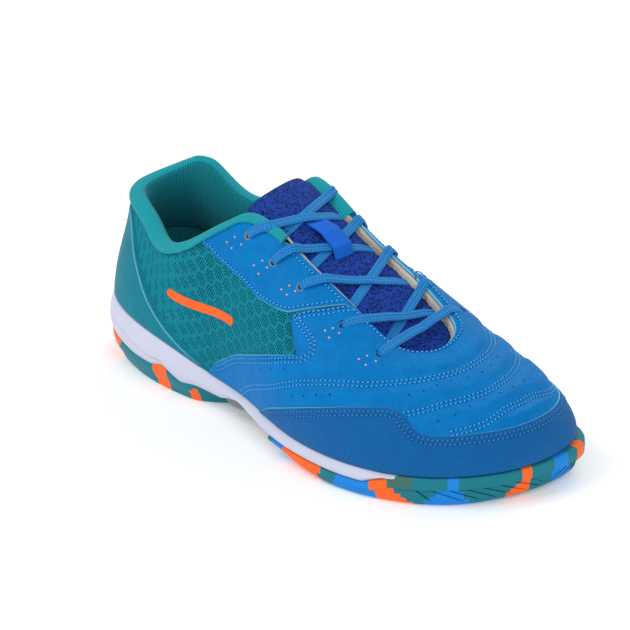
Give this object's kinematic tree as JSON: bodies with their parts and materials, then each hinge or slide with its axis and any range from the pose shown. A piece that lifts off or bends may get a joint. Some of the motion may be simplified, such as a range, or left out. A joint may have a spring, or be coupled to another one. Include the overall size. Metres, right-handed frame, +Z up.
{
  "type": "indoor soccer shoe",
  "caption": "Low laced indoor soccer shoe for the right foot, with a suede toe guard, leather facings, mesh quarters, a foam midsole and a flat rubber outsole.",
  "frame": {"origin": "on the floor, under the middle of the shoe's bounding box", "axes": "+X from heel to toe, +Z up, the outer side of the foot towards -Y"},
  "size_m": [0.2728, 0.1086, 0.1122],
  "materials": {
    "marbled_rubber": "matte",
    "grey_plastic": "matte",
    "white_foam": "matte",
    "dark_foam": "matte",
    "teal_mesh": "matte",
    "blue_suede": "matte",
    "blue_leather": "satin",
    "teal_leather": "satin",
    "teal_knit": "matte",
    "navy_mesh": "matte",
    "blue_webbing": "matte",
    "blue_cord": "matte"
  },
  "bodies": {
    "root": {"outsole_forefoot": "marbled_rubber", "outsole_heel": "marbled_rubber", "arch_plate": "grey_plastic", "midsole": "white_foam", "insole": "dark_foam", "upper": "teal_mesh", "toe_guard": "blue_suede", "vamp_overlay": "blue_leather", "eyestay_outer": "blue_leather", "eyestay_inner": "blue_leather", "heel_counter": "teal_leather", "collar_lining": "teal_knit", "tongue": "navy_mesh", "lace_keeper": "blue_webbing", "lace_bar": "blue_cord", "lace_cross_1": "blue_cord", "lace_cross_2": "blue_cord", "lace_cross_3": "blue_cord", "lace_cross_4": "blue_cord"}
  },
  "joints": []
}
